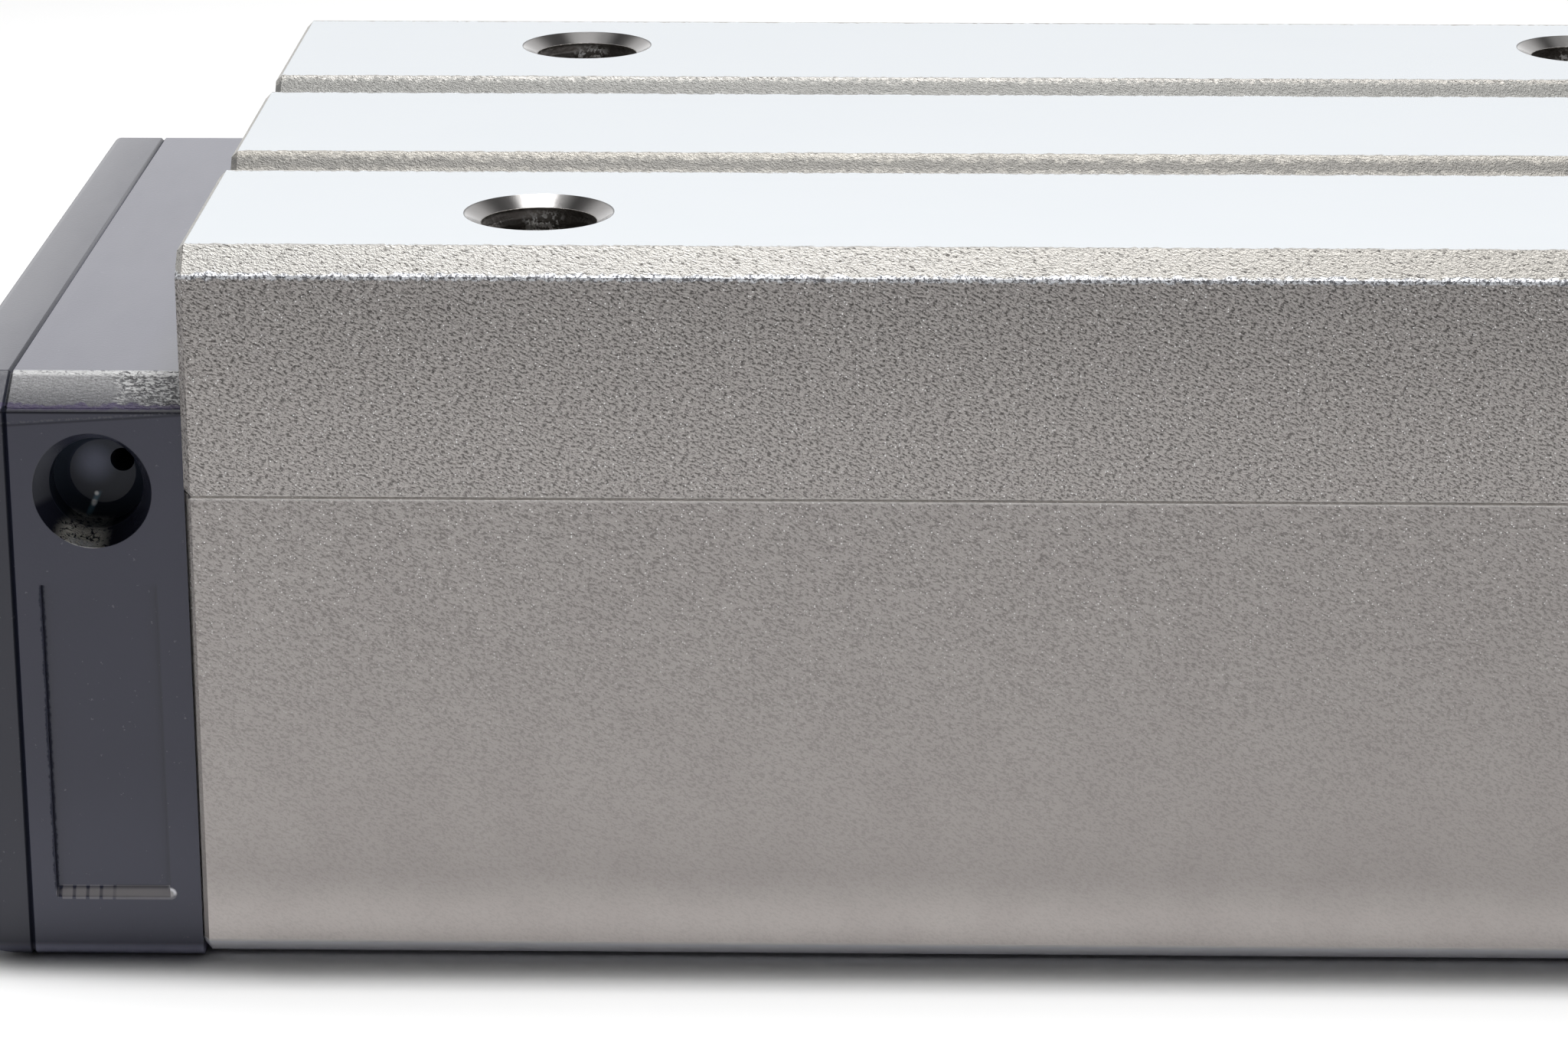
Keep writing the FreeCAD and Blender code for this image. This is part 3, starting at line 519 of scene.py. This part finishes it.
def port_masks(tree, along, across, up):
    """Masks for the grease ports: mouth, bore and floor, the places of painted shade, painted light, a
    painted gleam and painted glints, and the scuffed wear that is also painted as a highlight.
    """
    right = minus(tree, PORT_X_MM, along)
    above = minus(tree, up, PORT_Z_MM)
    from_middle = length(tree, right, above)
    inside = between(tree, from_middle, PORT_MOUTH_MM + 0.06, PORT_MOUTH_MM - 0.02)
    ring = multiply(tree, inside, between(tree, across, PORT_RING_MM - 0.12, PORT_RING_MM))
    bore = multiply(tree, inside, between(tree, across, PORT_RING_MM, PORT_RING_MM - 0.15))
    floor = multiply(tree, between(tree, from_middle, PORT_MOUTH_MM, PORT_MOUTH_MM - 0.1),
                     between(tree, across, PORT_FLOOR_MM + 0.2, PORT_FLOOR_MM + 0.1))
    streak = band(tree, add(tree, right, multiply(tree, above, -0.45)), 0.13, 0.45, 0.12)
    painted_glints = larger(tree, spot(tree, add(tree, right, 0.45), add(tree, above, 1.46), 0.2),
                    spot(tree, add(tree, right, 0.62), add(tree, above, 2.02), 0.24))
    low_wall = multiply(tree, between(tree, from_middle, PORT_MOUTH_MM * 0.72, PORT_MOUTH_MM * 0.88),
                        between(tree, from_middle, PORT_MOUTH_MM + 0.02, PORT_MOUTH_MM - 0.03),
                        between(tree, above, -2.0, -2.8))
    return {
        "port_ring": ring,
        "port_left_painted_light": multiply(tree, ring, between(tree, right, -1.2, -3.0), between(tree, above, -1.2, -0.6)),
        "port_bore": bore,
        "port_floor": floor,
        "port_middle_painted_light": multiply(tree, floor, between(tree, length(
            tree, add(tree, right, 0.5), minus(tree, above, 0.5)), 1.7, 0.1)),
        "port_painted_gleam": multiply(tree, bore, streak, band(tree, above, -2.6, -1.4, 0.2)),
        "port_painted_glints": multiply(tree, bore, painted_glints),
        "port_scuff_and_highlight": multiply(tree, low_wall, band(tree, right, -2.1, 0.5, 0.55)),
        "port_rim": multiply(tree, band(tree, from_middle, PORT_MOUTH_MM - 0.22, PORT_MOUTH_MM, 0.06),
                             band(tree, right, -1.5, 0.1, 0.4), between(tree, above, -2.8, -3.1)),
    }


def lip_masks(tree, along, up):
    """Masks for the raised lip under each panel: its ridge and its end, which get painted highlights, and the
    painted shade over it.
    """
    past_near = minus(tree, along, PANEL_NEAR_X_MM)
    above = minus(tree, up, PANEL_BOTTOM_MM - 0.5 * PANEL_LIP_MM)
    past_end = larger(tree, minus(tree, PANEL_NEAR_X_MM, along), minus(tree, along, LIP_END_MM))
    from_lip = length(tree, larger(tree, past_end, 0.0), above)
    waves = calculate(tree, "SINE", multiply(tree, minus(tree, along, PANEL_FAR_X_MM), LIP_GAP_RATE))
    gaps = multiply(tree, between(tree, waves, -0.5, -0.95), between(tree, past_near, 2.6, 4.6))
    crest = between(tree, from_lip, 0.40, 0.05)
    crest = minus(tree, between(tree, crest, 0.0, 1.0, 0.3, 1.0), multiply(tree, gaps, 0.6))
    return {
        "lip": multiply(tree, between(tree, from_lip, 0.44, 0.36), crest),
        "lip_end": multiply(tree, band(tree, from_lip, 0.2, 0.38, 0.08),
                            between(tree, past_near, 0.25, -0.1), between(tree, above, -0.2, 0.1)),
        "over_lip": multiply(tree, band(tree, above, 0.33, 0.42, 0.07),
                             band(tree, past_near, 0.3, 3.6, 0.4)),
    }


def panel_masks(tree, place, along, up):
    """Masks for the upright edges of the panels, which get painted shade: a ragged one by the seam and a
    plain one by the steel.
    """
    beside = band(tree, up, PANEL_BOTTOM_MM, PANEL_TOP_MM, 0.15)
    ragged = between(tree, noise(tree, place, 2.2, 3.0, 0.7), 0.3, 0.7, -0.07, 0.07)
    past_far = add(tree, minus(tree, along, PANEL_FAR_X_MM), ragged)
    past_near = minus(tree, along, PANEL_NEAR_X_MM)
    return {
        "panel_far_painted_shade": multiply(tree, beside, band(tree, past_far, -0.1, 0.12, 0.05)),
        "panel_near_painted_shade": multiply(tree, beside, band(tree, past_near, -0.06, 0.06, 0.06)),
    }


def cap_masks(tree, place):
    """Masks for the marks on the outside of the end caps and covers, and for the painted light and shade on
    them.
    """
    along, across, up = axes(tree, place)
    along = absolute(tree, along)
    across = absolute(tree, across)
    return {
        "top": between(tree, up, CAP_TOP_MM - 0.06, CAP_TOP_MM - 0.02),
        # Where painted light makes the lower cap lighter and bluer.
        "lower": between(tree, up, 14.0, 2.0),
        # Where a painted reflection lies along the foot.
        "foot": band(tree, up, CAP_FOOT_MM + 0.15, CAP_FOOT_MM + 0.8, 0.25),
        "cover": between(tree, along, SEAM_MM, SEAM_MM + 0.05),
        "past_seam": between_straight(tree, along, SEAM_MM, COVER_OUTER_MM, 0.0, 1.0),
        "seam": multiply(tree, band(tree, along, SEAM_MM - 0.15, SEAM_MM + 0.15, 0.05),
                         between(tree, across, 5.0, 33.0, 0.3, 1.0)),
        **cap_bevel_masks(tree, place, across, up),
        **mould_line_masks(tree, along, up),
        **port_masks(tree, along, across, up),
        **lip_masks(tree, along, up),
        **panel_masks(tree, place, along, up),
    }


def scuffed_and_sheen_color(tree, place, scuffs):
    """Colour of the worn cap bevel: pale and smooth in places, cracked and scratched in others; the pale
    tone, lighter toward the top, is painted sheen, the cracks carry painted glints, and the top edge a
    painted highlight.
    """
    along, _, up = axes(tree, place)
    patches = noise(tree, stretched(tree, place, (0.3, 0.1, 0.5)), 1.0, 3.0)
    inward = between(tree, absolute(tree, along), HALF_LENGTH_MM, SEAM_MM, 0.14, -0.14)
    wear_and_painted_glints = between(tree, add(tree, patches, inward), 0.42, 0.58)
    # Painted sheen: a pale tone, lighter toward the top of the bevel.
    down = between(tree, up, CAP_TOP_MM, CAP_TOP_MM - CAP_BEVEL_DROP_MM)
    pale_painted_sheen = blend_colors(tree, down, (0.27, 0.27, 0.275), (0.062, 0.062, 0.072))
    hatch = noise(tree, slanted(tree, place, HATCH_SLANT, 3.0, 9.0), 1.0, 3.0, 0.6)
    smooth = scaled(tree, pale_painted_sheen, between(tree, hatch, 0.3, 0.7, 0.75, 1.25))
    # Dark cracks with pale painted glints.
    cracks = between(tree, scuffs, 0.45, 0.58)
    cracked_with_painted_glints = blend_colors(tree, cracks, (0.006, 0.006, 0.010), (0.50, 0.50, 0.50))
    color = tint(tree, smooth, wear_and_painted_glints, 0.85, cracked_with_painted_glints)
    # Painted highlight along the top edge of the bevel.
    painted_edge_highlight = multiply(tree, between(tree, up, CAP_TOP_MM - 0.32, CAP_TOP_MM - 0.12),
                    between(tree, scuffs, 0.38, 0.5))
    return tint(tree, color, painted_edge_highlight, 0.7, (0.75, 0.75, 0.75))


def cap_color(tree, place, masks, bevel, fine, scuffs, wear_and_painted_glints):
    """Colour of the cap plastic, with its marks laid over one another, painted light, shade, highlights and
    glints among them.
    """
    dust = between(tree, noise(tree, place, 2.6, 2.0, 0.7), 0.70, 0.75)
    crumbs = multiply(tree, masks["mould_crumbs"], between(tree, fine, 0.45, 0.6))
    # White painted glints on the lower rim of the port mouths.
    painted_rim_glints = multiply(tree, masks["port_rim"], between(tree, scuffs, 0.4, 0.5))
    layers = (
        # Painted light: lighter and bluer toward the bottom.
        (masks["lower"], 0.75, (0.064, 0.066, 0.104)),
        # Painted reflection: a pale bluish band along the foot.
        (masks["foot"], 0.9, (0.34, 0.345, 0.46)),
        (masks["cover"], 0.55, (0.004, 0.005, 0.012)),
        (dust, 0.25, (0.25, 0.25, 0.27)),
        (bevel, 1.0, scuffed_and_sheen_color(tree, place, scuffs)),
        (masks["bevel_rim"], 0.85, (0.060, 0.047, 0.098)),
        (masks["under_bevel"], 0.8, (0.005, 0.005, 0.008)),
        (masks["mould_line"], 0.45, (0.006, 0.007, 0.009)),
        (crumbs, 0.5, (0.10, 0.10, 0.11)),
        # Painted shade along the upright edges of the panels.
        (masks["panel_far_painted_shade"], 0.5, (0.006, 0.008, 0.016)),
        (masks["panel_near_painted_shade"], 0.3, (0.012, 0.014, 0.020)),
        # Painted shade over the lip, and painted highlights on the lip and its end.
        (masks["over_lip"], 0.8, (0.002, 0.003, 0.005)),
        (masks["lip"], 1.0, (0.46, 0.44, 0.455)),
        (masks["lip_end"], 1.0, (0.95, 0.95, 1.0)),
        # Painted shade in the port mouths, painted light on their left and in the middle of their floors, a
        # painted gleam and painted glints.
        (masks["port_ring"], 0.7, (0.010, 0.011, 0.016)),
        (masks["port_left_painted_light"], 0.9, (0.075, 0.077, 0.090)),
        (masks["port_bore"], 1.0, (0.018, 0.023, 0.034)),
        (masks["port_floor"], 1.0, (0.022, 0.026, 0.040)),
        (masks["port_middle_painted_light"], 1.0, (0.13, 0.14, 0.20)),
        (masks["port_painted_gleam"], 0.9, (0.10, 0.18, 0.24)),
        (masks["port_painted_glints"], 1.0, WHITE),
        (wear_and_painted_glints, 1.0, (1.0, 0.97, 0.88)),
        (painted_rim_glints, 1.0, WHITE),
        # Painted shade in the seam between cap and cover.
        (masks["seam"], 0.7, (0.006, 0.008, 0.013)),
    )
    cloud = noise(tree, place, 0.15, 3.0)
    color = blend_colors(tree, cloud, (0.026, 0.0270, 0.051), (0.031, 0.0325, 0.060))
    for mask, share, wanted in layers:
        color = tint(tree, color, mask, share, wanted)
    return color


def cap_shine(tree, place, masks, wear_and_painted_glints):
    """Strength of the plastic's gloss: higher on the top, low in the dark lines and in the ports."""
    smudge = noise(tree, stretched(tree, place, (0.35, 0.09, 0.3)), 1.0, 4.0, 0.6)
    smudge = between(tree, smudge, 0.3, 0.7, -0.05, 0.05)
    cover_top = blend_values(tree, masks["past_seam"], 0.29, 0.62)
    top = add(tree, blend_values(tree, masks["cover"], 0.605, cover_top), smudge)
    dark = larger(tree, larger(tree, masks["under_bevel"], masks["panel_far_painted_shade"]),
                  larger(tree, multiply(tree, masks["mould_line"], 0.5), masks["over_lip"]))
    layers = (
        (masks["top"], 1.0, top),
        (dark, 0.7, 0.0),
        (masks["bevel_rim"], 0.8, 0.12),
        (masks["port_ring"], 1.0, 0.18),
        (masks["port_bore"], 1.0, 0.2),
        (wear_and_painted_glints, 1.0, 1.0),
        (masks["seam"], 1.0, 0.1),
    )
    shine = 0.5
    for mask, share, wanted in layers:
        shine = blend_values(tree, multiply(tree, mask, share), shine, wanted)
    return shine


def cap_plastic(tree, place):
    """Dark grey-blue moulded plastic, satin, with a scuffed and shinier bevel; its colour carries painted
    light, shade, highlights and glints.
    """
    masks = cap_masks(tree, place)
    fine = noise(tree, place, 6.0, 2.0)
    scuffs = noise(tree, slanted(tree, place, SCUFF_SLANT, 2.2, 6.0), 1.0, 5.0, 0.7, 0.5)
    bevel = multiply(tree, masks["bevel"], minus(tree, 1.0, multiply(tree, masks["cover"], 0.9)))
    # Scuffed wear at the lower left of the port mouths, painted bright as a highlight with glints.
    wear_and_painted_glints = between(tree, noise(tree, place, 3.2, 4.0, 0.7, 0.6), 0.40, 0.50)
    wear_and_painted_glints = multiply(tree, masks["port_scuff_and_highlight"], wear_and_painted_glints)

    rough = 0.33
    for mask, value in ((bevel, 0.26), (masks["port_ring"], 0.25), (masks["port_bore"], 0.35)):
        rough = blend_values(tree, mask, rough, value)
    relief = blend_values(tree, larger(tree, bevel, masks["port_scuff_and_highlight"]),
                          multiply(tree, fine, 0.06), multiply(tree, scuffs, 1.2))
    return {
        "Base Color": cap_color(tree, place, masks, bevel, fine, scuffs, wear_and_painted_glints),
        "Roughness": rough,
        "Specular IOR Level": cap_shine(tree, place, masks, wear_and_painted_glints),
        "IOR": CAP_INDEX,
        "Normal": bump(tree, relief, SCUFF_HEIGHT_MM),
    }


def guide_plastic(tree, place):
    """Plain grey moulded plastic of the inner guides and retainers."""
    cloud = noise(tree, place, 0.2, 2.0)
    return {
        "Base Color": blend_colors(tree, cloud, (0.14, 0.14, 0.15), (0.18, 0.18, 0.19)),
        "Roughness": 0.45,
        "Normal": bump(tree, noise(tree, place, 5.0, 2.0), 0.01),
    }


def seal_rubber(tree, place):
    """Black moulded rubber."""
    cloud = noise(tree, place, 0.3, 3.0)
    return {
        "Base Color": blend_colors(tree, cloud, (0.016, 0.016, 0.017), (0.03, 0.03, 0.031)),
        "Roughness": 0.62,
        "Normal": bump(tree, noise(tree, place, 4.0, 3.0), 0.02),
    }


def ball_steel(tree, place):
    """Polished bearing steel with a thin film of oil."""
    smear = noise(tree, place, 0.6, 2.0)
    return {
        "Base Color": blend_colors(tree, smear, (0.70, 0.70, 0.71), (0.80, 0.80, 0.81)),
        "Metallic": 1.0,
        "Roughness": between(tree, smear, 0.3, 0.7, 0.06, 0.16),
    }


def screw_steel(tree, place):
    """Dark zinc-plated steel."""
    smear = noise(tree, place, 0.8, 3.0)
    return {
        "Base Color": blend_colors(tree, smear, (0.24, 0.24, 0.25), (0.36, 0.36, 0.37)),
        "Metallic": 1.0,
        "Roughness": between(tree, smear, 0.3, 0.7, 0.28, 0.42),
        "Normal": bump(tree, noise(tree, place, 6.0, 2.0), 0.01),
    }


def floor_paper(tree, place):
    """White matt paper."""
    cloud = noise(tree, place, 0.01, 2.0)
    return {
        "Base Color": blend_colors(tree, cloud, (0.87, 0.87, 0.87), (0.89, 0.89, 0.89)),
        "Roughness": 1.0,
        "Specular IOR Level": 0.0,
    }


def dress_nodes():
    """Give each node the material of its slot."""
    dressings = (body_steel, cap_plastic, guide_plastic, seal_rubber, ball_steel, screw_steel)
    materials = {dress.__name__: new_material(dress.__name__, dress) for dress in dressings}
    for part in frame["record"]["subparts"]:
        mesh = frame["nodes"][part["node"]].data
        mesh.materials.clear()
        mesh.materials.append(materials[part["material_slot"]])
    return materials


def add_piece(name, data):
    """Put an object with this mesh, lamp or camera into the scene."""
    piece = bpy.data.objects.new(name, data)
    bpy.context.scene.collection.objects.link(piece)
    return piece


def thread_ring(mesh, angle, middle, depth):
    """Corners of the ridge's outline at one angle of the helix."""
    profile = (
        (HOLE_WALL_MM + THREAD_ROOT_MM, THREAD_FOOT_SHARE),
        (HOLE_WALL_MM - depth, THREAD_CREST_SHARE),
        (HOLE_WALL_MM - depth, -THREAD_CREST_SHARE),
        (HOLE_WALL_MM + THREAD_ROOT_MM, -THREAD_FOOT_SHARE),
    )
    return [
        mesh.verts.new(Vector((radius * math.cos(angle), radius * math.sin(angle),
                               middle + rise * THREAD_PITCH_MM)) * MM)
        for radius, rise in profile
    ]


def thread_mesh(name):
    """Helical ridge of one tapped hole, from its mouth downward, standing out of the wall."""
    mesh = bmesh.new()
    rings = []
    steps = THREAD_TURNS * THREAD_STEPS
    for step in range(steps + 1):
        turns = step / THREAD_STEPS
        middle = -HOLE_MOUTH_DEPTH_MM - THREAD_PITCH_MM * (0.5 + turns)
        fade = min(1.0, turns, THREAD_TURNS - turns)
        rings.append(thread_ring(mesh, 2 * math.pi * turns, middle, THREAD_DEPTH_MM * fade))
    for first, second in zip(rings, rings[1:]):
        for row in range(len(first)):
            following = (row + 1) % len(first)
            mesh.faces.new((first[row], second[row], second[following], first[following]))
    mesh.faces.new(reversed(rings[0]))
    mesh.faces.new(rings[-1])
    bmesh.ops.recalc_face_normals(mesh, faces=mesh.faces)
    data = bpy.data.meshes.new(name)
    mesh.to_mesh(data)
    mesh.free()
    return data


def add_threads(material):
    """A thread in each of the four tapped holes of the top."""
    for end_name, end in (("left", -1), ("right", 1)):
        for side_name, side in (("near", -1), ("far", 1)):
            name = "thread_%s_%s" % (end_name, side_name)
            data = thread_mesh(name)
            data.materials.append(material)
            piece = add_piece(name, data)
            hole_top = Vector((end * HOLE_X_MM, side * HOLE_Y_MM, TOP_MM))
            data.transform(Matrix.Translation(hole_top * MM))
            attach(piece, "carriage")


def add_floor():
    """Large white floor."""
    size = FLOOR_HALF_SIZE
    data = bpy.data.meshes.new("floor")
    corners = [(-size, -size, 0), (size, -size, 0), (size, size, 0), (-size, size, 0)]
    data.from_pydata(corners, [], [(0, 1, 2, 3)])
    data.materials.append(new_material("floor", floor_paper))
    add_piece("floor", data)


def add_camera():
    """Camera at the photo's viewing angle."""
    data = bpy.data.cameras.new("camera")
    data.lens = FOCAL_LENGTH_MM
    data.sensor_width = SENSOR_WIDTH_MM
    data.clip_start = CLIP_START
    data.clip_end = CLIP_END
    camera = add_piece("camera", data)
    camera.location = Vector(CAMERA_PLACE_MM) * MM
    camera.rotation_euler = (math.radians(90 - CAMERA_PITCH), 0, math.radians(-CAMERA_YAW))
    bpy.context.scene.camera = camera


def add_lamps():
    """Soft rectangular lamps straight overhead, which face down and grow hotter toward the middle."""
    for name, width, middle_y, radiance in OVERHEAD_LAMPS:
        data = bpy.data.lights.new(name, "AREA")
        data.shape = "RECTANGLE"
        data.size = OVERHEAD_LENGTH
        data.size_y = width
        data.energy = radiance * math.pi * data.size * data.size_y
        add_piece(name, data).location = (OVERHEAD_MIDDLE_X, middle_y, OVERHEAD_HEIGHT)


def add_world():
    """Bright backdrop behind and a dark room in front; the camera itself sees plain white."""
    world = bpy.data.worlds.new("studio")
    bpy.context.scene.world = world
    world.use_nodes = True
    tree = world.node_tree
    tree.nodes.clear()
    _, back, up = axes(tree, node(tree, "TexCoord").outputs["Generated"])
    behind = between(tree, back, 0.0, 0.4, ROOM_BRIGHTNESS, BACKDROP_BRIGHTNESS)
    wall = between(tree, up, 0.5, 0.8, 1.0, CEILING_SHARE)
    seen = node(tree, "LightPath").outputs["Is Camera Ray"]
    strength = blend_values(tree, seen, multiply(tree, behind, wall), 1.0)
    sky = node(tree, "Background", {"Color": (*WHITE, 1), "Strength": strength})
    node(tree, "OutputWorld", {"Surface": sky.outputs[0]})


materials = dress_nodes()
add_threads(materials["body_steel"])
add_floor()
add_world()
add_lamps()
add_camera()
bpy.context.scene.view_settings.view_transform = "Standard"
